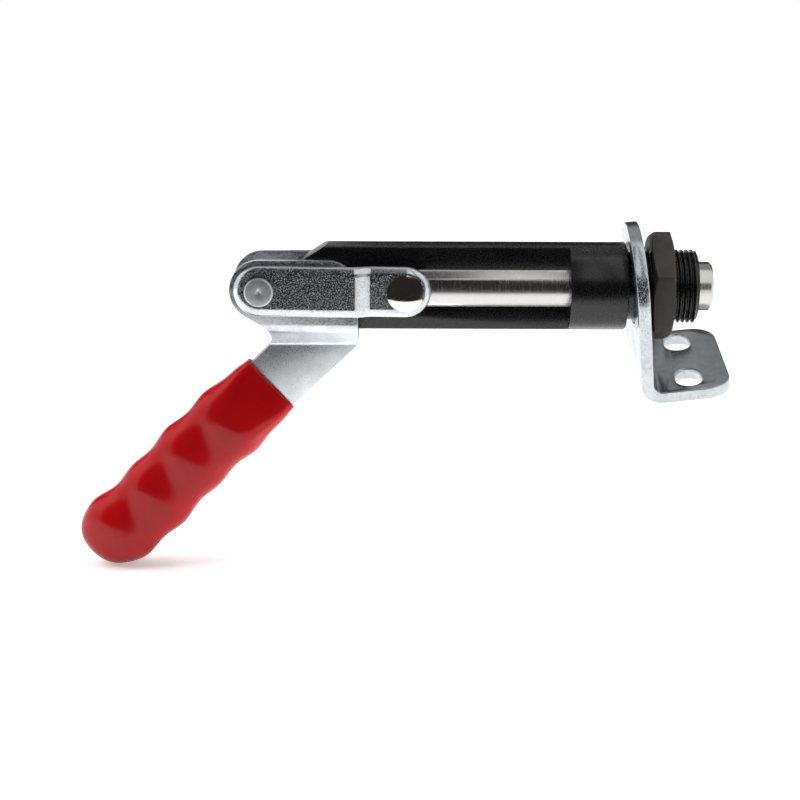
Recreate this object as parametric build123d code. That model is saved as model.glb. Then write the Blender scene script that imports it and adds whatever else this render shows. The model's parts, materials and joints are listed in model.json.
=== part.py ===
from build123d import *
from math import atan, cos, degrees, pi, radians, sin, sqrt, tan
import os

# Push-pull toggle clamp, in millimetres and degrees.
# Frame: the plunger runs along X and pushes towards +X, Z is up, and the two sheets of the
# handle lie either side of the plane Y = 0, the near one at -Y. The origin is on the plunger's
# axis, in the shoulder that the mounting bracket hangs against. Rest is the pulled-back position.

# ---- driving dimensions -------------------------------------------------------------------

# turned body
body_dia = 36.0
front_length = 23.2            # full round length between the flats and the shoulder
blade_thickness = 13.0         # across the two milled flats
edge_chamfer = 0.5
thread_dia = 30.0
thread_length = 29.0
thread_chamfer = 0.9
relief_dia = 27.4
relief_width = 3.0
pivot_x = -121.4               # handle pivot, behind the shoulder
tail_slope = 33.0              # slope of the two cuts at the back of the blade
tail_reach = 15.5              # from the pivot to the back face
tail_round = 6.0

# plunger
plunger_dia = 20.0
plunger_nose = 35.3            # front face, ahead of the shoulder
plunger_chamfer = 1.0
plunger_tail = 13.0            # from the cross pin to the back face
bore_spare = 4.0               # free length behind the plunger
tip_thread_core = 10.2         # core of the M12 thread in the plunger's front face
tip_thread_depth = 24.0
cross_pin_dia = 10.0
cross_pin_drop = 0.8           # cross pin below the plunger's axis

# linkage
crank = 27.6                   # from the handle pivot to the link rivet
link_length = 59.0             # centre to centre
link_width = 21.0
link_thickness = 3.0
sheet = 3.0                    # handle sheet
ear_outside = 13.2             # outer face of the handle's ears, from the middle plane
link_gap = 0.3                 # side gap between ear and link
link_set = 3.1                 # how far the link steps in past the ear
link_step_start = 40.6         # from the rivet to the start of the step
link_step_length = 7.0
link_bend = 2.0                # inside radius of the sheet bends of the link
link_edge_round = 2.2          # broad rolled edge of the stamping

# handle
ear_radius = 12.3
ear_skirt_angle = 30.5         # slope of the edge from the rivet end down to the neck
bend_top = -16.4               # height where the ears start to bend in
bend_bottom = -23.8            # height where the two sheets meet
bend_radius = 2.0              # inside radius of the sheet bends
neck_angle = 43.7              # neck and grip below the horizontal
neck_near_edge = 1.1           # edges of the neck, across it from the pivot
neck_far_edge = 26.2
neck_corner = 4.0
notch_radius = 7.0
tongue_inset = 4.0             # inside the grip the tongue is narrower by this on each side
tongue_end = 138.0             # measured along the neck from the pivot

# grip
grip_start = 45.6              # measured along the neck from the pivot
grip_end = 152.5
mouth_middle = 13.3            # middle of the mouth, across the neck from the pivot
grip_bow = 1.8                 # how far the grip's far half bows away from that line
grip_bow_start = 88.0
grip_bow_length = 34.0         # and the same length again to come back
mouth_half_width = 13.7
mouth_half_thickness = 5.0
mouth_blend = 22.0             # length over which the mouth swells into the grip
grip_half_width = 15.8
grip_half_thickness = 11.4
wave_pitch = 21.9              # finger waves along the grip
wave_first_valley = 59.5
wave_width = 0.65
wave_thickness = 1.0
tip_length = 16.0              # length of the rounded end
tip_power = 2.2                # fullness of the rounded end

# pins and rivets
pivot_pin_dia = 10.0
spacer_dia = 18.0
rivet_dia = 9.0
rivet_head_dia = 11.7
rivet_head_height = 1.5
rivet_inner_head_dia = 14.0
rivet_inner_head_height = 1.2
rivet_dimple_dia = 3.8
rivet_dimple_depth = 0.9
dome_dia = 14.6
dome_rim = 0.7
dome_rise = 1.7

# mounting bracket and lock nut
plate_thickness = 5.0
bracket_width = 52.4
bracket_height = 42.0          # from the nose axis to the underside of the foot
foot_length = 37.3             # from the outer face of the plate
bracket_hole = 31.2
bend_inside = 3.5
foot_corner = 10.0
slot_width = 11.0
slot_length = 14.0
slot_spacing = 30.6
slot_offset = 20.6             # from the outer face of the plate
bracket_turn = 15.5            # how far the bracket is turned about the nose
bracket_lean = 6.3             # how far the bracket hangs out of square while the nut is slack
bracket_play = 0.4             # between the bracket and the shoulder's upper edge
nut_across_flats = 41.0
nut_thickness = 8.7
nut_chamfer_angle = 21.0
nut_turn = 19.1                # one corner above the near side

# fits
running = 0.05                 # radial clearance of everything that turns or slides
touch = 0.1                    # gap between faces that rest on each other

# ---- sizes that follow --------------------------------------------------------------------

body_r = body_dia / 2
thread_r = thread_dia / 2
blade_half = blade_thickness / 2
flats_end = -front_length
tail_x = pivot_x - tail_reach
rivet_x = pivot_x - crank
link_run = sqrt(link_length**2 - cross_pin_drop**2)
link_tilt = degrees(atan(cross_pin_drop / link_run))
pin_x = rivet_x + link_run
stroke = 2 * crank
plunger_back = pin_x - plunger_tail
bore_end = plunger_back - bore_spare
ear_inside = ear_outside - sheet
link_inside = ear_outside + link_gap
link_outside = link_inside + link_thickness
link_front_inside = link_inside - link_set
link_front_outside = link_outside - link_set
lean = radians(bracket_lean)
bracket_x = bracket_play + (body_r - edge_chamfer) * tan(lean)
nut_x = bracket_x + plate_thickness / cos(lean) + nut_across_flats / 2 * tan(lean) + touch
slope = radians(neck_angle)


def on_neck(along, across):
    """Point in the X-Z plane, measured from the pivot along and across the neck."""
    return (
        pivot_x - along * cos(slope) + across * sin(slope),
        -along * sin(slope) - across * cos(slope),
    )


def rounded(corners):
    """Face through (x, y, radius) corners."""
    face = make_face(Polyline(*[(x, y) for x, y, r in corners], close=True))
    for x, y, r in corners:
        if r:
            face = fillet(face.vertices().sort_by_distance(Vector(x, y))[0], r)
    return face


def upright(sketch, low, high):
    """Extrude a sketch drawn in X-Z between two distances from the plane Y = 0, on the near side."""
    return extrude(Plane.XZ.offset(low) * sketch, high - low)


def round_bar(x, z, dia, low, high):
    """Cylinder along Y on the near side, between two distances from the plane Y = 0."""
    return upright(Pos(x, z) * Circle(dia / 2), low, high)


def far_side(solid):
    return mirror(solid, Plane.XZ)


# ---- body, nut and bracket ----------------------------------------------------------------

def clamp_body():
    half = [
        (tail_x, 0),
        (tail_x, body_r),
        (-edge_chamfer, body_r),
        (0, body_r - edge_chamfer),
        (0, relief_dia / 2),
        (relief_width, relief_dia / 2),
        (relief_width + thread_r - relief_dia / 2, thread_r),
        (thread_length - thread_chamfer, thread_r),
        (thread_length, thread_r - thread_chamfer),
        (thread_length, 0),
    ]
    turned = revolve(Plane.XZ * make_face(Polyline(*half, close=True)), Axis.X)
    tail_rise = tail_reach * tan(radians(tail_slope))
    front = thread_length + 1
    side_view = rounded([
        (front, -body_r, 0),
        (front, body_r, 0),
        (pivot_x, body_r, 0),
        (tail_x, body_r - tail_rise, tail_round),
        (tail_x, -body_r + tail_rise, tail_round),
        (pivot_x, -body_r, 0),
    ])
    turned &= extrude(Plane.XZ * side_view, body_r, both=True)
    flat = Pos((flats_end + tail_x) / 2 - 1, 0, 0) * Box(
        flats_end - tail_x + 2, body_dia, body_dia + 2
    )
    blade = extrude(
        Plane.XZ * Pos((flats_end + tail_x) / 2, 0) * Rectangle(flats_end - tail_x + 8, body_dia + 4),
        blade_half, both=True,
    )
    turned -= flat - blade
    bore_r = plunger_dia / 2 + running
    drill_tip = bore_r / tan(radians(59))
    bore = [
        (bore_end - drill_tip, 0),
        (bore_end, bore_r),
        (thread_length + 1, bore_r),
        (thread_length + 1, 0),
    ]
    turned -= revolve(Plane.XZ * make_face(Polyline(*bore, close=True)), Axis.X)
    turned -= extrude(Plane.XZ * Pos(pivot_x, 0) * Circle(pivot_pin_dia / 2), body_r, both=True)
    return turned


def lock_nut():
    hexagon = RegularPolygon(nut_across_flats / 2, 6, major_radius=False)
    blank = extrude(Plane.YZ * hexagon, nut_thickness)
    flat_r = nut_across_flats / 2
    corner_r = flat_r / cos(pi / 6)
    drop = (corner_r - flat_r) * tan(radians(nut_chamfer_angle))
    outline = [
        (0, 0),
        (0, flat_r),
        (drop, corner_r),
        (nut_thickness - drop, corner_r),
        (nut_thickness, flat_r),
        (nut_thickness, 0),
    ]
    blank &= revolve(Plane.XZ * make_face(Polyline(*outline, close=True)), Axis.X)
    hole_r = thread_r + running
    blank -= extrude(Plane.YZ * Circle(hole_r), nut_thickness)
    mouth = [
        (0, hole_r - 1),
        (0, hole_r + thread_chamfer),
        (thread_chamfer + 1, hole_r - 1),
    ]
    countersink = revolve(Plane.XZ * make_face(Polyline(*mouth, close=True)), Axis.X)
    blank -= countersink
    blank -= Pos(nut_thickness, 0, 0) * mirror(countersink, Plane.YZ)
    return Pos(nut_x, 0, 0) * Rot(-nut_turn, 0, 0) * blank


def mounting_bracket():
    low = -bracket_height
    radius = bracket_width / 2
    bend_outside = bend_inside + plate_thickness
    section = rounded([
        (0, radius, 0),
        (0, low, bend_outside),
        (foot_length, low, 0),
        (foot_length, low + plate_thickness, 0),
        (plate_thickness, low + plate_thickness, bend_inside),
        (plate_thickness, radius, 0),
    ])
    folded = extrude(Plane.XZ * section, radius, both=True)
    front_view = Circle(radius) + Pos(0, low) * Rectangle(
        bracket_width, -low, align=(Align.CENTER, Align.MIN)
    )
    folded &= extrude(Plane.YZ * front_view, foot_length)
    top_view = rounded([
        (-1, -radius, 0),
        (foot_length, -radius, foot_corner),
        (foot_length, radius, foot_corner),
        (-1, radius, 0),
    ])
    folded &= extrude(Plane.XY.offset(low) * top_view, radius - low)
    folded -= extrude(Plane.YZ * Circle(bracket_hole / 2), plate_thickness)
    slot = SlotOverall(slot_length, slot_width, rotation=90)
    slots = Pos(slot_offset, slot_spacing / 2) * slot + Pos(slot_offset, -slot_spacing / 2) * slot
    folded -= extrude(Plane.XY.offset(low) * slots, plate_thickness)
    return Pos(bracket_x, 0, 0) * Rot(0, -bracket_lean, 0) * Rot(bracket_turn, 0, 0) * folded


# ---- handle -------------------------------------------------------------------------------

def sheet_section(outer, inner, thickness, start, end, inside_radius, top, bottom):
    """Section of a joggled sheet: the face that is outside at the start, then its back."""
    step_angle = atan((outer - inner) / (end - start))
    shift = thickness * tan(step_angle / 2)
    return rounded([
        (-outer, top, 0),
        (-outer, start, inside_radius + thickness),
        (-inner, end, inside_radius),
        (-inner, bottom, 0),
        (-inner + thickness, bottom, 0),
        (-inner + thickness, end + shift, inside_radius + thickness),
        (-outer + thickness, start + shift, inside_radius),
        (-outer + thickness, top, 0),
    ])


def neck_width_at_bend():
    """Where the neck's far edge meets the straight front edge of the ear."""
    along = (neck_far_edge * sin(slope) - ear_radius) / cos(slope)
    return on_neck(along, neck_far_edge)


def ear_outline():
    """Side view of one handle sheet: two round ends, a skirt, the neck and its tongue."""
    skirt = radians(ear_skirt_angle)
    tangent = (rivet_x - ear_radius * sin(skirt), -ear_radius * cos(skirt))
    edge_x, edge_z = on_neck(0, neck_near_edge)
    # corner between the skirt and the near edge of the neck
    reach = ((edge_x - tangent[0]) * sin(slope) - (edge_z - tangent[1]) * cos(slope)) / (
        cos(skirt) * sin(slope) + sin(skirt) * cos(slope)
    )
    notch = (tangent[0] + reach * cos(skirt), tangent[1] - reach * sin(skirt))
    front = neck_width_at_bend()
    inner_near = neck_near_edge + tongue_inset
    inner_far = neck_far_edge - tongue_inset
    shoulder = grip_start + 4
    end_round = (inner_far - inner_near) / 2 - 0.5
    lower = rounded([
        (pivot_x + ear_radius, 0, 0),
        (*front, neck_corner),
        (*on_neck(shoulder, neck_far_edge), 0),
        (*on_neck(shoulder, inner_far), 0),
        (*on_neck(tongue_end, inner_far), end_round),
        (*on_neck(tongue_end, inner_near), end_round),
        (*on_neck(shoulder, inner_near), 0),
        (*on_neck(shoulder, neck_near_edge), 0),
        (*notch, notch_radius),
        (*tangent, 0),
        (rivet_x, 0, 0),
    ])
    ends = Pos(rivet_x, 0) * Circle(ear_radius) + Pos(pivot_x, 0) * Circle(ear_radius)
    middle = Pos((rivet_x + pivot_x) / 2, 0) * Rectangle(crank, 2 * ear_radius)
    return lower + ends + middle


def handle_plate():
    section = sheet_section(
        ear_outside, sheet, sheet, bend_top, bend_bottom, bend_radius,
        ear_radius + 1, on_neck(tongue_end + 5, neck_far_edge)[1],
    )
    far_x = on_neck(tongue_end + 5, 0)[0]
    near_x = pivot_x + ear_radius + 1
    strip = extrude(Plane.YZ.offset(far_x) * section, near_x - far_x)
    plate = strip & upright(ear_outline(), 0, ear_outside)
    plate -= round_bar(pivot_x, 0, pivot_pin_dia + 2 * running, 0, ear_outside + 1)
    plate -= round_bar(rivet_x, 0, rivet_dia, 0, ear_outside + 1)
    return plate


def ease(value):
    """Soft step from 0 to 1."""
    value = min(1, max(0, value))
    return value * value * (3 - 2 * value)


def grip_section(along):
    """Closed outline of the grip across its length: square at the mouth, oval further down."""
    swell = ease((along - grip_start) / mouth_blend)
    bowed = (along - grip_bow_start) / grip_bow_length
    bow = grip_bow * (ease(bowed) - ease(bowed - 1))
    left = max(0, along - (grip_end - tip_length)) / tip_length
    wave = -cos(2 * pi * (along - wave_first_valley) / wave_pitch) * swell * (1 - left)
    tip = (1 - left**tip_power) ** (1 / tip_power)
    width = mouth_half_width + (grip_half_width - mouth_half_width) * swell
    thickness = mouth_half_thickness + (grip_half_thickness - mouth_half_thickness) * swell
    width = (width + wave_width * wave) * tip
    thickness = (thickness + wave_thickness * wave) * tip
    corner = 2 / (5.5 - 3.2 * swell)
    points = []
    for i in range(16):
        angle = 2 * pi * i / 16
        c, s = cos(angle), sin(angle)
        points.append((abs(c) ** corner * width * (1 if c > 0 else -1),
                       abs(s) ** corner * thickness * (1 if s > 0 else -1)))
    x, z = on_neck(along, mouth_middle + bow)
    plane = Plane(
        origin=(x, 0, z),
        x_dir=(sin(slope), 0, -cos(slope)),
        z_dir=(-cos(slope), 0, -sin(slope)),
    )
    return plane * make_face(Spline(*points, periodic=True))


def handle_grip():
    stations = [grip_start + mouth_blend * step / 5 for step in range(5)]
    tip_start = grip_end - tip_length
    count = round((tip_start - stations[-1]) / (wave_pitch / 4))
    spacing = (tip_start - stations[-1]) / count
    stations += [stations[-1] + spacing * (step + 1) for step in range(count)]
    stations += [tip_start + tip_length * part for part in (0.3, 0.52, 0.7, 0.84, 0.94, 0.99)]
    grip = loft([grip_section(station) for station in stations])
    pocket = upright(ear_outline(), -sheet, sheet)
    return grip - pocket


# ---- linkage ------------------------------------------------------------------------------

def rim(solid):
    """Edges between the outer skin of a near sheet and its cut edge."""
    skin, wall = [], []
    for face in solid.faces():
        lean_out = face.normal_at(face.center()).Y
        if lean_out < -0.3:
            skin += face.edges()
        elif abs(lean_out) < 0.05:
            wall += face.edges()
    return [edge for edge in skin if any(edge.is_same(other) for other in wall)]


def link():
    """Near link, drawn level and then dropped to the cross pin."""
    reach = link_length + link_width
    section = sheet_section(
        link_outside, link_front_outside, link_thickness,
        -link_step_start, -link_step_start - link_step_length, link_bend,
        link_width, -reach,
    )
    # the section runs along X from the rivet, outer face towards the near side
    along_x = Plane(origin=(0, 0, -link_width), x_dir=(0, 1, 0), z_dir=(0, 0, 1))
    strip = extrude(along_x * section, 2 * link_width)
    outline = Pos(link_length / 2, 0) * SlotCenterToCenter(link_length, link_width)
    bar = strip & upright(outline, 0, link_outside)
    bar = fillet(rim(bar), link_edge_round)
    bar -= round_bar(0, 0, rivet_dia + 2 * running, 0, link_outside + 1)
    bar -= round_bar(link_length, 0, cross_pin_dia, 0, link_outside + 1)
    return Pos(rivet_x, 0, 0) * Rot(0, link_tilt, 0) * bar


def link_rivet():
    """Rivet of one link: a low inner head, the shank, and an outer head with a punched dimple."""
    inner = ear_inside - rivet_inner_head_height
    outer = link_outside + touch
    rivet = round_bar(rivet_x, 0, rivet_inner_head_dia, inner, ear_inside)
    rivet += round_bar(rivet_x, 0, rivet_dia, ear_inside, outer)
    head = round_bar(rivet_x, 0, rivet_head_dia, outer, outer + rivet_head_height)
    edge = head.edges().filter_by(GeomType.CIRCLE).sort_by(Axis.Y)[0]
    rivet += chamfer(edge, rivet_head_height * 0.3)
    top = outer + rivet_head_height
    dimple = Cone(0.2, rivet_dimple_dia / 2, 2 * rivet_dimple_depth, rotation=(90, 0, 0))
    return rivet - Pos(rivet_x, -top, 0) * dimple


def link_pin():
    """End of the cross pin that is fixed in the link, with its domed head."""
    shank = round_bar(pin_x, -cross_pin_drop, cross_pin_dia, link_front_inside, link_front_outside)
    rim_r = dome_dia / 2
    ball_r = (rim_r**2 + dome_rise**2) / (2 * dome_rise)
    low = link_front_outside
    head = round_bar(pin_x, -cross_pin_drop, dome_dia, low, low + dome_rim + dome_rise)
    ball = Pos(pin_x, -(low + dome_rim + dome_rise - ball_r), -cross_pin_drop) * Sphere(ball_r)
    return shank + (head & ball)


def plunger():
    half = [
        (plunger_back, 0),
        (plunger_back, plunger_dia / 2 - plunger_chamfer),
        (plunger_back + plunger_chamfer, plunger_dia / 2),
        (plunger_nose - plunger_chamfer, plunger_dia / 2),
        (plunger_nose, plunger_dia / 2 - plunger_chamfer),
        (plunger_nose, tip_thread_core / 2 + 1),
        (plunger_nose - 1, tip_thread_core / 2),
        (plunger_nose - tip_thread_depth, tip_thread_core / 2),
        (plunger_nose - tip_thread_depth - tip_thread_core / 2 / tan(radians(59)), 0),
    ]
    rod = revolve(Plane.XZ * make_face(Polyline(*half, close=True)), Axis.X)
    hole = round_bar(pin_x, -cross_pin_drop, cross_pin_dia, -plunger_dia, plunger_dia)
    return rod - hole


def plunger_pin():
    end = link_front_inside - touch
    pin = round_bar(pin_x, -cross_pin_drop, cross_pin_dia, -end, end)
    return chamfer(pin.edges().filter_by(GeomType.CIRCLE), 0.4)


def pivot_pin():
    end = ear_outside - touch
    pin = round_bar(pivot_x, 0, pivot_pin_dia, -end, end)
    return chamfer(pin.edges().filter_by(GeomType.CIRCLE), 0.4)


def pivot_spacer():
    ring = round_bar(pivot_x, 0, spacer_dia, blade_half, ear_inside - touch)
    return ring - round_bar(pivot_x, 0, pivot_pin_dia, blade_half, ear_inside)


# ---- all pieces ---------------------------------------------------------------------------

near_plate, near_link = handle_plate(), link()
near_rivet, near_pin, near_spacer = link_rivet(), link_pin(), pivot_spacer()

nodes = {
    "clamp_body": clamp_body(),
    "lock_nut": lock_nut(),
    "mounting_bracket": mounting_bracket(),
    "pivot_pin": pivot_pin(),
    "pivot_spacer_near": near_spacer,
    "pivot_spacer_far": far_side(near_spacer),
    "handle_plate_near": near_plate,
    "handle_plate_far": far_side(near_plate),
    "handle_grip": handle_grip(),
    "link_rivet_near": near_rivet,
    "link_rivet_far": far_side(near_rivet),
    "link_near": near_link,
    "link_far": far_side(near_link),
    "link_pin_near": near_pin,
    "link_pin_far": far_side(near_pin),
    "plunger": plunger(),
    "plunger_pin": plunger_pin(),
}

os.makedirs("parts", exist_ok=True)
for name, solid in nodes.items():
    export_step(solid, f"parts/{name}.step")
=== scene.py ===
import json
import math

import bmesh
import bpy
from bpy.props import FloatProperty, FloatVectorProperty, PointerProperty
from mathutils import Matrix, Vector

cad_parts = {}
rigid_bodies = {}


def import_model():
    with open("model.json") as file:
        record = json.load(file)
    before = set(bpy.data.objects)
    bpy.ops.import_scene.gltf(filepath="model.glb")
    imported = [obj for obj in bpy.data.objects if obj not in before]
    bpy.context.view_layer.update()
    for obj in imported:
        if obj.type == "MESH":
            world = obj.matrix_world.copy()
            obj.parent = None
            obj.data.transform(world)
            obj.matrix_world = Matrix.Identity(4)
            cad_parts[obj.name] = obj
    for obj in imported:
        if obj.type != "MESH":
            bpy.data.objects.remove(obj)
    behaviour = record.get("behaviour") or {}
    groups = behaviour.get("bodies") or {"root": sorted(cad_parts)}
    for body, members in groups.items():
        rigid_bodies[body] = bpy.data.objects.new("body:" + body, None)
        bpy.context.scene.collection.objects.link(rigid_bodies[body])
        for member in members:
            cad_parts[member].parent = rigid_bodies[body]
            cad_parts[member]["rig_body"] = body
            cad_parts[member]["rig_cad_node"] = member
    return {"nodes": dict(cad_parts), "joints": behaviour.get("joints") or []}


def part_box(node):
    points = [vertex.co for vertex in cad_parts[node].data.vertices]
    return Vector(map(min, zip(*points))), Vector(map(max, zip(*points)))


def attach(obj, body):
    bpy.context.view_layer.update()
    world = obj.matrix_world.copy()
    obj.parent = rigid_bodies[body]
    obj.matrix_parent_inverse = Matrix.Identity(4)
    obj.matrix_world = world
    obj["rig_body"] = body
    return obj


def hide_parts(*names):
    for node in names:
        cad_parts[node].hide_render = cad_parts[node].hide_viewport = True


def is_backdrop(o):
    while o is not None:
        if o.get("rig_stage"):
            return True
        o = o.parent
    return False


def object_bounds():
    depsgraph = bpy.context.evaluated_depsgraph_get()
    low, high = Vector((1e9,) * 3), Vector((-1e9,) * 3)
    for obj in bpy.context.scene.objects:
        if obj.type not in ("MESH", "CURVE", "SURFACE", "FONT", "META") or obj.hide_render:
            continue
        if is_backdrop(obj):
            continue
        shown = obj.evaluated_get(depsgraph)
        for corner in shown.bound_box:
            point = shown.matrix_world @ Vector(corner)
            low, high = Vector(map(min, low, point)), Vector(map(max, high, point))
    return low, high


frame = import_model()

bl_info = {
    "name": "Push-pull toggle clamp",
    "version": (1, 0, 0),
    "blender": (4, 5, 0),
    "location": "View3D > Sidebar > Clamp",
    "description": "Dressed pieces and studio for a push-pull toggle clamp",
    "category": "Object",
}

JOINTS = {joint["name"]: joint for joint in frame["joints"]}
RIVET = Vector(JOINTS["link_swing"]["pos_m"])
CAD_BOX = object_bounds()
LENGTH = dict(subtype="DISTANCE", unit="LENGTH")
SIDES = (("near", -1), ("far", 1))     # each side's name and its way outwards along Y

# how finely the round forms are cut
THREAD_FACETS = 72
LINK_FACETS, LINK_ROLL_CUTS, LINK_STEP_CUTS = 96, 8, 12
DOME_FACETS, DOME_RINGS = 96, 160
DRIP_FACETS, DRIP_RINGS = 24, 16
DIMPLE_FACETS = 16
GRIP_EASE, GRIP_EASE_ROUNDS = 0.5, 30

# machined edges of single pieces, as shares of the common edge
NUT_EDGE, PLUNGER_EDGE, PIN_EDGE = 0.8, 0.6, 0.5


# ---- sizes and colours --------------------------------------------------------------------

def colour(name, text, value):
    return FloatVectorProperty(
        name=name, description=text, default=value, subtype="COLOR", size=3, min=0, max=1
    )


class ClampSizes(bpy.types.PropertyGroup):
    edge: FloatProperty(
        name="Machined edge", description="Width of the broken edges of the machined pieces",
        default=0.00035, min=0, **LENGTH)
    sheet_edge: FloatProperty(
        name="Sheet edge", description="Width of the rounded edges of the bent sheets",
        default=0.0005, min=0, **LENGTH)
    thread_radius: FloatProperty(
        name="Thread radius", description="Outside radius of the nose thread",
        default=0.015, min=0, **LENGTH)
    thread_core: FloatProperty(
        name="Thread core", description="Radius at the root of the nose thread",
        default=0.0137, min=0, **LENGTH)
    thread_pitch: FloatProperty(
        name="Thread pitch", description="Distance between two turns of the nose thread",
        default=0.002, min=0.0005, **LENGTH)
    thread_chamfer: FloatProperty(
        name="Thread chamfer", description="Length of the chamfer at the front of the nose thread",
        default=0.0009, min=0, **LENGTH)
    relief: FloatProperty(
        name="Relief", description="Length of the plain neck behind the nose thread",
        default=0.003, min=0, **LENGTH)
    tooth_root: FloatProperty(
        name="Tooth root", description="Width of a thread tooth's root, as a share of the pitch",
        default=0.92, min=0, max=1)
    tooth_crest: FloatProperty(
        name="Tooth crest", description="Width of a thread tooth's crest, as a share of its root",
        default=0.2, min=0, max=1)
    dome_rise: FloatProperty(
        name="Dome rise", description="Height of the round part of the pin heads",
        default=0.0012, min=0, **LENGTH)
    dimple_length: FloatProperty(
        name="Dimple length", description="Length of each point of the rivets' dimples",
        default=0.0024, min=0, **LENGTH)
    dimple_radius: FloatProperty(
        name="Dimple radius", description="Radius of each point of the rivets' dimples",
        default=0.0007, min=0, **LENGTH)
    link_thickness: FloatProperty(
        name="Link thickness", description="Thickness of the links' sheet",
        default=0.003, min=0, **LENGTH)
    link_roll: FloatProperty(
        name="Link roll", description="Width of the rolled rim round the links",
        default=0.0042, min=0, **LENGTH)
    step_start: FloatProperty(
        name="Step start", description="From the rivet to the start of the links' step",
        default=0.0382, min=0, **LENGTH)
    step_end: FloatProperty(
        name="Step end", description="From the rivet to the end of the links' step",
        default=0.0452, min=0, **LENGTH)
    drip: FloatProperty(
        name="Drip", description="Radius of the low drip at the grip's tip",
        default=0.0022, min=0, **LENGTH)
    drip_place: FloatVectorProperty(
        name="Drip place", description="Middle of the drip, which lies inside the grip's skin",
        default=(-0.2212, 0, -0.1140), size=3, subtype="TRANSLATION", unit="LENGTH")
    voxel: FloatProperty(
        name="Grip detail", description="Grain of the grip's skin",
        default=0.0005, min=0.0002, **LENGTH)


class ClampColours(bpy.types.PropertyGroup):
    black_oxide: colour("Black oxide", "Blackened steel of the body", (0.006, 0.006, 0.0065))
    nut_black: colour("Nut black", "Browner black of the lock nut", (0.022, 0.018, 0.014))
    zinc: colour("Zinc", "Bright zinc plate of the sheets", (0.65, 0.685, 0.71))
    ground: colour("Ground steel", "Bare ground plunger", (0.62, 0.61, 0.59))
    nickel: colour("Nickel", "Polished pin heads", (0.80, 0.77, 0.71))
    grip: colour("Grip", "Dipped vinyl", (0.42, 0.004, 0.006))
    floor: colour("Floor", "Studio floor", (0.86, 0.86, 0.86))


def sizes():
    return bpy.context.scene.clamp_sizes


def colours():
    return bpy.context.scene.clamp_colours


# ---- helpers ------------------------------------------------------------------------------

def activate(obj):
    if bpy.context.object and bpy.context.object.mode != "OBJECT":
        bpy.ops.object.mode_set(mode="OBJECT")
    bpy.ops.object.select_all(action="DESELECT")
    obj.select_set(True)
    bpy.context.view_layer.objects.active = obj


def edit(obj):
    activate(obj)
    bpy.ops.object.mode_set(mode="EDIT")
    bpy.ops.mesh.select_all(action="DESELECT")


def pick_all(obj):
    edit(obj)
    bpy.ops.mesh.select_all(action="SELECT")


def done():
    bpy.ops.object.mode_set(mode="OBJECT")


def pick(kind, test):
    """Selects the vertices or edges of the edited mesh whose middle passes the test."""
    bpy.ops.mesh.select_mode(type=kind)
    bpy.ops.mesh.select_all(action="DESELECT")
    mesh = bmesh.from_edit_mesh(bpy.context.object.data)
    if kind == "VERT":
        for v in mesh.verts:
            v.select = bool(test(v, v.co))
    else:
        for e in mesh.edges:
            e.select = bool(test(e, (e.verts[0].co + e.verts[1].co) / 2))
    mesh.select_flush_mode()
    bmesh.update_edit_mesh(bpy.context.object.data)


def new_piece(name):
    """Names the object that an operator has just made."""
    obj = bpy.context.object
    obj.name = name
    obj.data.name = name
    return obj


def new_solid(name):
    """Names a new primitive and applies its place and turn, so that it ends at the origin."""
    obj = new_piece(name)
    bpy.ops.object.transform_apply(location=True, rotation=True, scale=True)
    return obj


def copy_node(node, name):
    """A copy of a CAD node with a merged mesh of its own."""
    activate(frame["nodes"][node])
    bpy.ops.object.duplicate()
    obj = new_piece(name)
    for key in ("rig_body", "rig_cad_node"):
        del obj[key]
    obj.parent = None
    obj.matrix_world = Matrix.Identity(4)
    obj.data.materials.clear()
    edit(obj)
    bpy.ops.mesh.customdata_custom_splitnormals_clear()
    bpy.ops.mesh.select_all(action="SELECT")
    bpy.ops.mesh.remove_doubles(threshold=2e-6)
    bpy.ops.mesh.dissolve_limited(angle_limit=math.radians(0.6))
    done()
    return obj


def modify(obj, kind, **settings):
    """Gives a piece a modifier and applies it."""
    activate(obj)
    bpy.ops.object.modifier_add(type=kind)
    made = obj.modifiers[-1]
    for key, value in settings.items():
        setattr(made, key, value)
    bpy.ops.object.modifier_apply(modifier=made.name)


def bevel(obj, width, segments=2, angle=32):
    modify(obj, "BEVEL", width=width, segments=segments, limit_method="ANGLE",
           angle_limit=math.radians(angle), use_clamp_overlap=True)


def join(obj, other):
    activate(obj)
    other.select_set(True)
    bpy.ops.object.join()


def smooth(obj, angle=30):
    activate(obj)
    bpy.ops.object.shade_smooth_by_angle(angle=math.radians(angle))


def place(obj, body, slot, material, *nodes):
    """Finishes a piece: gives it its material and the body it rides on, and hides the nodes it
    stands for.
    """
    obj.data.materials.clear()
    obj.data.materials.append(material)
    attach(obj, body)
    if nodes:
        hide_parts(*nodes)
    return obj


# ---- materials ----------------------------------------------------------------------------

def shader(name):
    material = bpy.data.materials.get(name) or bpy.data.materials.new(name)
    material.use_nodes = True
    tree = material.node_tree
    tree.nodes.clear()
    out = tree.nodes.new("ShaderNodeOutputMaterial")
    bsdf = tree.nodes.new("ShaderNodeBsdfPrincipled")
    tree.links.new(bsdf.outputs["BSDF"], out.inputs["Surface"])
    return material, tree, bsdf


def node(tree, kind, inputs=None, **settings):
    made = tree.nodes.new(kind)
    for key, value in settings.items():
        setattr(made, key, value)
    for key, value in (inputs or {}).items():
        if hasattr(value, "links"):
            tree.links.new(value, made.inputs[key])
        else:
            made.inputs[key].default_value = value
    return made


def mapped(tree, scale=(1, 1, 1)):
    where = node(tree, "ShaderNodeTexCoord").outputs["Object"]
    return node(tree, "ShaderNodeMapping", {"Vector": where, "Scale": scale}).outputs["Vector"]


def noise(tree, vector, scale, detail, rough):
    made = node(tree, "ShaderNodeTexNoise",
                {"Vector": vector, "Scale": scale, "Detail": detail, "Roughness": rough})
    return made.outputs["Fac"]


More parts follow.
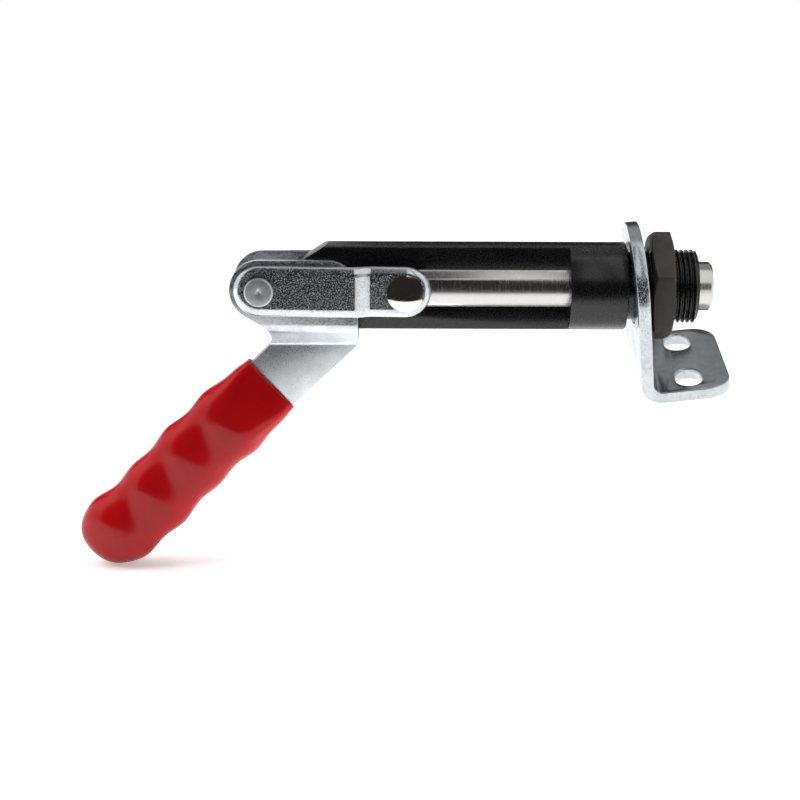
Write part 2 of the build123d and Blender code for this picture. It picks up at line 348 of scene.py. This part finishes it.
def ramp(tree, value, low, high, at):
    """Spreads a value, between two stops, over two greys or colours."""
    made = node(tree, "ShaderNodeValToRGB", {"Fac": value})
    for stop, position, tint in zip(made.color_ramp.elements, at, (low, high)):
        stop.position = position
        stop.color = (*tint, 1) if isinstance(tint, (tuple, list)) else (tint, tint, tint, 1)
    return made.outputs["Color"]


def shade(tint, factor):
    return tuple(min(1.0, c * factor) for c in tint)


def bump(tree, bsdf, height, strength, distance):
    made = node(tree, "ShaderNodeBump",
                {"Height": height, "Strength": strength, "Distance": distance})
    tree.links.new(made.outputs["Normal"], bsdf.inputs["Normal"])


def black_oxide(name="black_oxide", tint=None, rough=(0.22, 0.34)):
    tint = tint or tuple(colours().black_oxide)
    material, tree, bsdf = shader(name)
    where = mapped(tree)
    mottle = noise(tree, where, scale=90, detail=4, rough=0.6)
    fine = noise(tree, where, scale=1400, detail=3, rough=0.6)
    tree.links.new(ramp(tree, mottle, shade(tint, 0.7), shade(tint, 1.5), at=(0.35, 0.7)),
                   bsdf.inputs["Base Color"])
    tree.links.new(ramp(tree, fine, *rough, at=(0.3, 0.7)), bsdf.inputs["Roughness"])
    bsdf.inputs["Metallic"].default_value = 0.0
    bsdf.inputs["Specular IOR Level"].default_value = 0.55
    bump(tree, bsdf, fine, strength=0.05, distance=0.0001)
    return material


def zinc(name="bright_zinc", rough=(0.13, 0.22), pitted=0.58, tone=1.0):
    """Clouded zinc plate with fine pits; pitted is how strongly they show."""
    tint = shade(colours().zinc, tone)
    material, tree, bsdf = shader(name)
    where = mapped(tree)
    cloud = noise(tree, where, scale=140, detail=3, rough=0.6)
    speck = noise(tree, where, scale=2300, detail=4, rough=0.7)
    tree.links.new(ramp(tree, cloud, shade(tint, 0.88), shade(tint, 1.08), at=(0.3, 0.7)),
                   bsdf.inputs["Base Color"])
    tree.links.new(ramp(tree, speck, *rough, at=(0.35, 0.65)), bsdf.inputs["Roughness"])
    bsdf.inputs["Metallic"].default_value = 1.0
    pits = ramp(tree, speck, 0.0, 1.0, at=(0.57, 0.70))
    bump(tree, bsdf, pits, strength=pitted, distance=0.0001)
    return material


def ground_steel():
    """Bare steel with the fine rings of the grinding round its axis."""
    tint = tuple(colours().ground)
    material, tree, bsdf = shader("ground_steel")
    rings = noise(tree, mapped(tree, (1, 0.04, 0.04)), scale=3500, detail=3, rough=0.6)
    tree.links.new(ramp(tree, rings, shade(tint, 0.95), shade(tint, 1.04), at=(0.3, 0.7)),
                   bsdf.inputs["Base Color"])
    tree.links.new(ramp(tree, rings, 0.20, 0.28, at=(0.3, 0.7)), bsdf.inputs["Roughness"])
    bsdf.inputs["Metallic"].default_value = 1.0
    bump(tree, bsdf, rings, strength=0.04, distance=0.0001)
    return material


def nickel():
    tint = tuple(colours().nickel)
    material, tree, bsdf = shader("polished_nickel")
    cloud = noise(tree, mapped(tree), scale=400, detail=3, rough=0.6)
    tree.links.new(ramp(tree, cloud, shade(tint, 0.94), shade(tint, 1.05), at=(0.35, 0.65)),
                   bsdf.inputs["Base Color"])
    tree.links.new(ramp(tree, cloud, 0.05, 0.12, at=(0.3, 0.7)), bsdf.inputs["Roughness"])
    bsdf.inputs["Metallic"].default_value = 1.0
    return material


def dipped_vinyl():
    tint = tuple(colours().grip)
    material, tree, bsdf = shader("dipped_vinyl")
    cloud = noise(tree, mapped(tree), scale=60, detail=3, rough=0.5)
    tree.links.new(ramp(tree, cloud, shade(tint, 0.94), shade(tint, 1.06), at=(0.3, 0.7)),
                   bsdf.inputs["Base Color"])
    tree.links.new(ramp(tree, cloud, 0.20, 0.26, at=(0.3, 0.7)), bsdf.inputs["Roughness"])
    bsdf.inputs["Specular IOR Level"].default_value = 0.30
    bump(tree, bsdf, cloud, strength=0.04, distance=0.002)
    return material


# ---- pieces -------------------------------------------------------------------------------

class CLAMP_OT_body(bpy.types.Operator):
    """Turned and milled body with its threaded nose"""
    bl_idname = "clamp.body"
    bl_label = "Body"

    def execute(self, context):
        s = sizes()
        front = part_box("clamp_body")[1].x
        body = copy_node("clamp_body", "body_blackened")
        # the nose is cut through its neck and drawn out again at the root of the thread
        pick_all(body)
        bpy.ops.mesh.bisect(plane_co=(s.relief / 2, 0, 0), plane_no=(1, 0, 0), clear_outer=True)
        bpy.ops.mesh.extrude_region_move(
            TRANSFORM_OT_translate={"value": (front - s.relief / 2, 0, 0)})
        bpy.ops.mesh.bridge_edge_loops()
        done()
        bevel(body, s.edge)
        join(body, self.ridge(s, front))
        smooth(body)
        place(body, "frame", "black_oxide", black_oxide(), "clamp_body")
        return {"FINISHED"}

    def ridge(self, s, front):
        """The thread's ridge: one tooth swept along a helix and trimmed to a chamfered cylinder."""
        sink = 0.0001                  # of the tooth's foot in the core
        start = s.relief + 0.0003      # of the trimmed thread
        room = 0.00001                 # round the crests, so that the trim leaves them whole
        depth = s.thread_radius - s.thread_core + sink
        middle = (0, 0, s.thread_radius - depth / 2)
        bpy.ops.mesh.primitive_plane_add(size=1, location=middle, rotation=(math.pi / 2, 0, 0))
        ridge = new_solid("thread_ridge")
        pick_all(ridge)
        bpy.ops.transform.resize(
            value=(s.thread_pitch * s.tooth_root, 1, depth), center_override=middle)
        pick("VERT", lambda v, co: co.z > middle[2])
        bpy.ops.transform.resize(value=(s.tooth_crest, 1, 1), center_override=middle)
        bpy.ops.mesh.select_all(action="SELECT")
        bpy.ops.transform.translate(value=(s.relief, 0, 0))
        done()
        turns = int((front - s.relief) / s.thread_pitch) + 1
        modify(ridge, "SCREW", axis="X", angle=math.tau, screw_offset=s.thread_pitch,
               iterations=turns, steps=THREAD_FACETS, render_steps=THREAD_FACETS,
               use_smooth_shade=False)
        pick_all(ridge)
        bpy.ops.mesh.remove_doubles(threshold=1e-7)
        bpy.ops.mesh.fill_holes(sides=8)
        bpy.ops.mesh.select_all(action="SELECT")
        bpy.ops.mesh.normals_make_consistent(inside=False)
        done()
        length = front - start
        bpy.ops.mesh.primitive_cylinder_add(
            vertices=THREAD_FACETS, radius=s.thread_radius + room, depth=length,
            location=(front - length / 2, 0, 0), rotation=(0, math.pi / 2, 0))
        trim = new_solid("thread_trim")
        bevel(trim, s.thread_chamfer, segments=1)
        modify(ridge, "BOOLEAN", operation="INTERSECT", object=trim, solver="EXACT")
        bpy.data.objects.remove(trim)
        return ridge


class CLAMP_OT_nut(bpy.types.Operator):
    """Chamfered lock nut"""
    bl_idname = "clamp.nut"
    bl_label = "Lock nut"

    def execute(self, context):
        nut = copy_node("lock_nut", "nut_blackened")
        bevel(nut, sizes().edge * NUT_EDGE)
        smooth(nut, angle=25)
        duller = black_oxide("nut_black", tuple(colours().nut_black), rough=(0.42, 0.58))
        place(nut, "frame", "black_oxide", duller, "lock_nut")
        return {"FINISHED"}


class CLAMP_OT_bracket(bpy.types.Operator):
    """Bent and slotted mounting bracket"""
    bl_idname = "clamp.bracket"
    bl_label = "Mounting bracket"

    def execute(self, context):
        bracket = copy_node("mounting_bracket", "bracket_plated")
        bevel(bracket, sizes().sheet_edge, segments=3)
        smooth(bracket)
        coarser = zinc("bracket_zinc", rough=(0.17, 0.28), pitted=0.9, tone=0.87)
        place(bracket, "frame", "zinc_sheet", coarser, "mounting_bracket")
        return {"FINISHED"}


class CLAMP_OT_plunger(bpy.types.Operator):
    """Ground plunger and its cross pin"""
    bl_idname = "clamp.plunger"
    bl_label = "Plunger"

    def execute(self, context):
        for name in ("plunger", "plunger_pin"):
            piece = copy_node(name, name + "_ground")
            bevel(piece, sizes().edge * PLUNGER_EDGE)
            smooth(piece)
            place(piece, "plunger", "ground_steel", ground_steel(), name)
        return {"FINISHED"}


class CLAMP_OT_links(bpy.types.Operator):
    """Joggled links on both sides, with a broad rolled edge"""
    bl_idname = "clamp.links"
    bl_label = "Links"

    def execute(self, context):
        for side, out in SIDES:
            link = self.sheet("link_" + side, out)
            place(link, "links", "zinc_sheet", zinc(), "link_" + side)
        return {"FINISHED"}

    def soft(self, value):
        """Soft step from 0 to 1, nearly straight in the middle."""
        straight = 0.85
        value = min(1.0, max(0.0, value))
        eased = value * value * (3 - 2 * value)
        return straight * value + (1 - straight) * eased

    def sheet(self, node_name, out):
        """A slot-shaped sheet from the rivet to the pin, rolled at its rim and stepped inwards."""
        s = sizes()
        low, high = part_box(node_name)
        pin_low, pin_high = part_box(node_name.replace("link", "link_pin"))
        pin = (pin_low + pin_high) / 2
        skin = low.y if out < 0 else high.y
        step = (high.y - low.y) - s.link_thickness
        run, drop = pin.x - RIVET.x, pin.z - RIVET.z
        half = (high.x - low.x - run) / 2
        bpy.ops.mesh.primitive_circle_add(
            vertices=LINK_FACETS, radius=half, fill_type="NGON", location=(0, 0, 0),
            rotation=(math.pi / 2, math.pi / LINK_FACETS, 0))
        link = new_solid(node_name.replace("link", "link_plated"))
        pick_all(link)
        bpy.ops.transform.translate(value=(RIVET.x, skin, RIVET.z))
        pick("VERT", lambda v, co: co.x > RIVET.x)
        bpy.ops.transform.translate(value=(run, 0, drop))
        bpy.ops.mesh.select_all(action="SELECT")
        # rolled as deep as wide, with a little to spare, then flattened to the sheet's thickness
        spare = 1.03
        deep = s.link_roll * spare
        bpy.ops.mesh.extrude_region_move(TRANSFORM_OT_translate={"value": (0, -out * deep, 0)})
        bpy.ops.mesh.select_all(action="SELECT")
        bpy.ops.mesh.normals_make_consistent(inside=False)
        pick("EDGE", lambda e, co: all(abs(v.co.y - skin) < 1e-6 for v in e.verts))
        bpy.ops.mesh.bevel(offset=s.link_roll, segments=LINK_ROLL_CUTS, profile=0.5)
        bpy.ops.mesh.select_all(action="SELECT")
        bpy.ops.transform.resize(
            value=(1, s.link_thickness / deep, 1), center_override=(0, skin, 0))
        # the step: cuts across the link, each moved in by its share
        cuts = LINK_STEP_CUTS
        start, length = RIVET.x + s.step_start, s.step_end - s.step_start
        for i in range(cuts + 1):
            bpy.ops.mesh.select_all(action="SELECT")
            bpy.ops.mesh.bisect(plane_co=(start + length * i / cuts, 0, 0), plane_no=(1, 0, 0))
        for i in range(1, cuts + 1):
            share = self.soft(i / cuts) - self.soft((i - 1) / cuts)
            pick("VERT", lambda v, co: co.x > start + length * (i - 0.5) / cuts)
            bpy.ops.transform.translate(value=(0, -out * step * share, 0))
        done()
        smooth(link, angle=40)
        modify(link, "WEIGHTED_NORMAL")
        return link


class CLAMP_OT_pin_heads(bpy.types.Operator):
    """Domed heads of the cross pin"""
    bl_idname = "clamp.pin_heads"
    bl_label = "Pin heads"

    def execute(self, context):
        rise = sizes().dome_rise
        for side, out in SIDES:
            node_name = "link_pin_" + side
            low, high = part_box(node_name)
            middle, half = (low + high) / 2, (high.z - low.z) / 2
            tip = middle.y + out * (high.y - low.y) / 2
            rim = dict(plane_co=(0, tip - out * rise, 0), plane_no=(0, out, 0))
            pin = copy_node(node_name, "pin_head_" + side)
            pick_all(pin)
            bpy.ops.mesh.bisect(clear_outer=True, **rim)
            done()
            ball = (half * half + rise * rise) / (2 * rise)
            bpy.ops.mesh.primitive_uv_sphere_add(
                segments=DOME_FACETS, ring_count=DOME_RINGS, radius=ball,
                rotation=(math.pi / 2, 0, 0), location=(middle.x, tip - out * ball, middle.z))
            cap = new_solid("dome")
            pick_all(cap)
            bpy.ops.mesh.bisect(clear_inner=True, **rim)
            done()
            join(pin, cap)
            pick_all(pin)
            bpy.ops.mesh.normals_make_consistent(inside=False)
            done()
            smooth(pin, angle=40)
            place(pin, "links", "polished_pin", nickel(), node_name)
        return {"FINISHED"}


class CLAMP_OT_rivets(bpy.types.Operator):
    """Link rivets with three-pointed dimples"""
    bl_idname = "clamp.rivets"
    bl_label = "Rivets"

    def execute(self, context):
        for side, out in SIDES:
            node_name = "link_rivet_" + side
            low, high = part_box(node_name)
            rivet = copy_node(node_name, "rivet_" + side)
            bevel(rivet, sizes().edge * PIN_EDGE)
            face = low.y if out < 0 else high.y
            for turn in (90, 210, 330):
                self.groove(rivet, face, math.radians(turn))
            smooth(rivet)
            duller = zinc("rivet_zinc", rough=(0.36, 0.50))
            place(rivet, "handle", "zinc_sheet", duller, node_name)
        return {"FINISHED"}

    def groove(self, rivet, face, turn):
        """Cuts one point of the dimple, a thin spike lying in the head's face."""
        length = sizes().dimple_length
        along = Vector((math.cos(turn), 0, math.sin(turn)))
        bpy.ops.mesh.primitive_cone_add(
            vertices=DIMPLE_FACETS, radius1=sizes().dimple_radius, depth=length,
            location=Vector((RIVET.x, face, RIVET.z)) + along * length / 2,
            rotation=along.to_track_quat("Z", "Y").to_euler())
        spike = new_solid("spike")
        modify(rivet, "BOOLEAN", operation="DIFFERENCE", object=spike, solver="EXACT")
        bpy.data.objects.remove(spike)


class CLAMP_OT_handle(bpy.types.Operator):
    """Two bent handle plates"""
    bl_idname = "clamp.handle"
    bl_label = "Handle plates"

    def execute(self, context):
        for side in ("near", "far"):
            plate = copy_node("handle_plate_" + side, "plate_plated_" + side)
            bevel(plate, sizes().sheet_edge, segments=3)
            smooth(plate)
            softer = zinc("plate_zinc", rough=(0.24, 0.36), pitted=0.7)
            place(plate, "handle", "zinc_sheet", softer, "handle_plate_" + side)
        return {"FINISHED"}


class CLAMP_OT_pivot(bpy.types.Operator):
    """Pivot pin and its spacer rings"""
    bl_idname = "clamp.pivot"
    bl_label = "Pivot"

    def execute(self, context):
        for name in ("pivot_pin", "pivot_spacer_near", "pivot_spacer_far"):
            piece = copy_node(name, name + "_plated")
            bevel(piece, sizes().edge * PIN_EDGE)
            smooth(piece)
            place(piece, "frame", "zinc_sheet", zinc(), name)
        return {"FINISHED"}


class CLAMP_OT_grip(bpy.types.Operator):
    """Dipped hand grip"""
    bl_idname = "clamp.grip"
    bl_label = "Grip"

    def execute(self, context):
        s = sizes()
        grip = copy_node("handle_grip", "grip_dipped")
        modify(grip, "REMESH", mode="VOXEL", voxel_size=s.voxel)
        modify(grip, "SMOOTH", factor=GRIP_EASE, iterations=GRIP_EASE_ROUNDS)
        # the last drip of the dip, left at the tip
        bpy.ops.mesh.primitive_uv_sphere_add(
            segments=DRIP_FACETS, ring_count=DRIP_RINGS, radius=s.drip, location=s.drip_place)
        join(grip, new_solid("drip"))
        smooth(grip, angle=60)
        place(grip, "handle", "red_grip", dipped_vinyl(), "handle_grip")
        return {"FINISHED"}


# ---- stage --------------------------------------------------------------------------------

# name, place, aim, width and watts of each lamp
LAMPS = (
    ("key_softbox", (-0.80, -0.15, 0.60), (-0.10, 0, 0), 0.6, 6.0),
    ("top_softbox", (0.05, 0.10, 1.10), (-0.05, 0, 0), 0.8, 9.5),
    ("low_softbox", (-0.07, -0.02, -0.095), (-0.19, 0.01, -0.07), 0.05, 0.07),
)

# where the cards end, as (y, z): the low front cards reach up to the waist, the high ones lean
# from there over the clamp, and the top card leans forward from the back cards
FRONT_Y, BACK_Y = -0.245, 0.80
FOOT, WAIST, CREST = (FRONT_Y, CAD_BOX[0].z), (FRONT_Y, 0.115), (-0.10, 0.90)
NOSE_FOOT = (FRONT_Y, -0.035)
BACK_FOOT, BACK_TOP, ROOF = (BACK_Y, 0.05), (BACK_Y, 0.62), (0.10, 1.30)
LEFT, FRONT_LEFT, NOSE, RIGHT = -1.2, -0.48, 0.10, 1.0
DARK, SHADED, PALE = 0.02, 0.03, 0.45

# name, lower edge and upper edge (x from, x to, end) and grey of each card
CARDS = (
    ("low_card", (FRONT_LEFT, NOSE, FOOT), (FRONT_LEFT, NOSE, WAIST), DARK),
    ("front_card", (FRONT_LEFT, -0.075, WAIST), (FRONT_LEFT, -0.075, CREST), SHADED),
    ("nose_card", (NOSE, 0.16, NOSE_FOOT), (NOSE, 0.16, WAIST), DARK),
    ("edge_card", (0.018, 0.062, WAIST), (-0.005, 0.043, CREST), DARK),
    ("back_card_left", (LEFT, -0.40, BACK_FOOT), (LEFT, -0.40, BACK_TOP), DARK),
    ("back_card_right", (-0.19, RIGHT, BACK_FOOT), (-0.19, RIGHT, BACK_TOP), DARK),
    ("top_card", (LEFT, RIGHT, BACK_TOP), (LEFT, RIGHT, ROOF), PALE),
)
MATT_CARDS = ("low_card",)             # matt faces see these too

CAMERA_PLACE = (-0.09258, -0.74378, 0.14366)
CAMERA_DOWN, CAMERA_ROLL = math.radians(14.06), math.radians(0.194)
CAMERA_SENSOR, CAMERA_LENS = 36, 82.85
CAMERA_SHIFT = (0.0019, -0.0179)


class CLAMP_OT_studio(bpy.types.Operator):
    """Pale floor, soft lights, dark cards and the camera"""
    bl_idname = "clamp.studio"
    bl_label = "Studio"

    def execute(self, context):
        self.floor()
        self.world()
        self.lamps()
        for name, lower, upper, grey in CARDS:
            self.card(name, lower, upper, grey)
        self.camera()
        context.scene.view_settings.view_transform = "Standard"
        return {"FINISHED"}

    def floor(self):
        low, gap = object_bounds()[0].z, 0.0005
        bpy.ops.mesh.primitive_plane_add(size=6, location=(0, 0, 0))
        floor = new_piece("studio_floor")
        pick_all(floor)
        bpy.ops.mesh.subdivide(number_cuts=4)
        bpy.ops.transform.translate(value=(0, 0, low - gap))
        done()
        material, tree, bsdf = shader("studio_floor")
        bsdf.inputs["Base Color"].default_value = (*colours().floor, 1)
        bsdf.inputs["Roughness"].default_value = 0.9
        bsdf.inputs["Specular IOR Level"].default_value = 0.1
        # to the camera and to polished metal the floor is lighter, up to white far out
        bsdf.inputs["Emission Color"].default_value = (1, 1, 1, 1)
        where = node(tree, "ShaderNodeTexCoord").outputs["Object"]
        far = node(tree, "ShaderNodeVectorMath", {0: where}, operation="LENGTH").outputs["Value"]
        lift = node(tree, "ShaderNodeMapRange", {
            "Value": far, "From Min": 0.5, "From Max": 1.6, "To Min": 0.35, "To Max": 1.0})
        glow = node(tree, "ShaderNodeMath", {0: self.seen(tree), 1: lift.outputs[0]},
                    operation="MULTIPLY")
        tree.links.new(glow.outputs[0], bsdf.inputs["Emission Strength"])
        floor.data.materials.append(material)
        floor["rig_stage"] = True

    def seen(self, tree):
        """1 for rays from the camera and from polished or clear surfaces."""
        rays = node(tree, "ShaderNodeLightPath").outputs
        seen = rays["Is Camera Ray"]
        for other in ("Is Glossy Ray", "Is Transmission Ray"):
            seen = node(tree, "ShaderNodeMath", {0: seen, 1: rays[other]},
                        operation="MAXIMUM").outputs[0]
        return seen

    def world(self):
        world = bpy.context.scene.world or bpy.data.worlds.new("studio")
        bpy.context.scene.world = world
        world.use_nodes = True
        tree = world.node_tree
        tree.nodes.clear()
        white = node(tree, "ShaderNodeBackground", {"Color": (1, 1, 1, 1), "Strength": 1.0})
        # matt surfaces get less of it from the front
        where = node(tree, "ShaderNodeTexCoord").outputs["Generated"]
        depth = node(tree, "ShaderNodeSeparateXYZ", {"Vector": where}).outputs["Y"]
        level = node(tree, "ShaderNodeMapRange", {
            "Value": depth, "From Min": -0.7, "From Max": 0.3,
            "To Min": 0.02, "To Max": 0.65}).outputs[0]
        fill = node(tree, "ShaderNodeBackground", {"Color": (1, 1, 1, 1), "Strength": level})
        mix = node(tree, "ShaderNodeMixShader",
                   {0: self.seen(tree), 1: fill.outputs[0], 2: white.outputs[0]})
        out = node(tree, "ShaderNodeOutputWorld")
        tree.links.new(mix.outputs[0], out.inputs["Surface"])

    def lamps(self):
        for name, where, aim, width, watts in LAMPS:
            direction = Vector(aim) - Vector(where)
            bpy.ops.object.light_add(
                type="AREA", location=where, rotation=direction.to_track_quat("-Z", "Y").to_euler())
            lamp = bpy.context.object
            lamp.name = name
            lamp.data.shape, lamp.data.size, lamp.data.energy = "SQUARE", width, watts
            lamp.visible_glossy = False

    def card(self, name, lower, upper, grey):
        """A flat card between two level edges, which the camera doesn't see."""
        (left, right, end), (top_left, top_right, top) = lower, upper
        corners = {(-1, -1): (left, *end), (1, -1): (right, *end),
                   (1, 1): (top_right, *top), (-1, 1): (top_left, *top)}
        bpy.ops.mesh.primitive_plane_add(size=1)
        card = new_piece(name)
        edit(card)
        for (across, up), where in corners.items():
            start = Vector((across / 2, up / 2, 0))
            pick("VERT", lambda v, co: co == start)
            bpy.ops.transform.translate(value=Vector(where) - start)
        done()
        material, tree, bsdf = shader(name)
        bsdf.inputs["Base Color"].default_value = (grey, grey, grey, 1)
        bsdf.inputs["Roughness"].default_value = 1.0
        bsdf.inputs["Specular IOR Level"].default_value = 0.0
        card.data.materials.append(material)
        card.visible_camera = card.visible_shadow = False
        card.visible_diffuse = name in MATT_CARDS
        card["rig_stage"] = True

    def camera(self):
        bpy.ops.object.camera_add(location=CAMERA_PLACE)
        camera = bpy.context.object
        camera.rotation_mode = "ZXY"
        camera.rotation_euler = (math.pi / 2 - CAMERA_DOWN, 0, CAMERA_ROLL)
        camera.data.sensor_width, camera.data.lens = CAMERA_SENSOR, CAMERA_LENS
        camera.data.shift_x, camera.data.shift_y = CAMERA_SHIFT
        bpy.context.scene.camera = camera


PIECES = (
    CLAMP_OT_body, CLAMP_OT_nut, CLAMP_OT_bracket, CLAMP_OT_plunger, CLAMP_OT_links,
    CLAMP_OT_pin_heads, CLAMP_OT_rivets, CLAMP_OT_handle, CLAMP_OT_pivot, CLAMP_OT_grip,
    CLAMP_OT_studio,
)


class CLAMP_PT_pieces(bpy.types.Panel):
    """Lists the clamp's pieces, sizes and colours"""
    bl_idname = "CLAMP_PT_pieces"
    bl_label = "Toggle clamp"
    bl_space_type = "VIEW_3D"
    bl_region_type = "UI"
    bl_category = "Clamp"

    def draw(self, context):
        column = self.layout.column()
        for group in (context.scene.clamp_sizes, context.scene.clamp_colours):
            for key in group.__annotations__:
                column.prop(group, key)
        for piece in PIECES:
            column.operator(piece.bl_idname)


CLASSES = (ClampSizes, ClampColours, *PIECES, CLAMP_PT_pieces)


def register():
    for cls in CLASSES:
        bpy.utils.register_class(cls)
    bpy.types.Scene.clamp_sizes = PointerProperty(type=ClampSizes)
    bpy.types.Scene.clamp_colours = PointerProperty(type=ClampColours)


def unregister():
    del bpy.types.Scene.clamp_colours
    del bpy.types.Scene.clamp_sizes
    for cls in reversed(CLASSES):
        bpy.utils.unregister_class(cls)


def main():
    register()
    for piece in PIECES:
        group, name = piece.bl_idname.split(".")
        getattr(getattr(bpy.ops, group), name)()


if __name__ == "__main__":
    main()
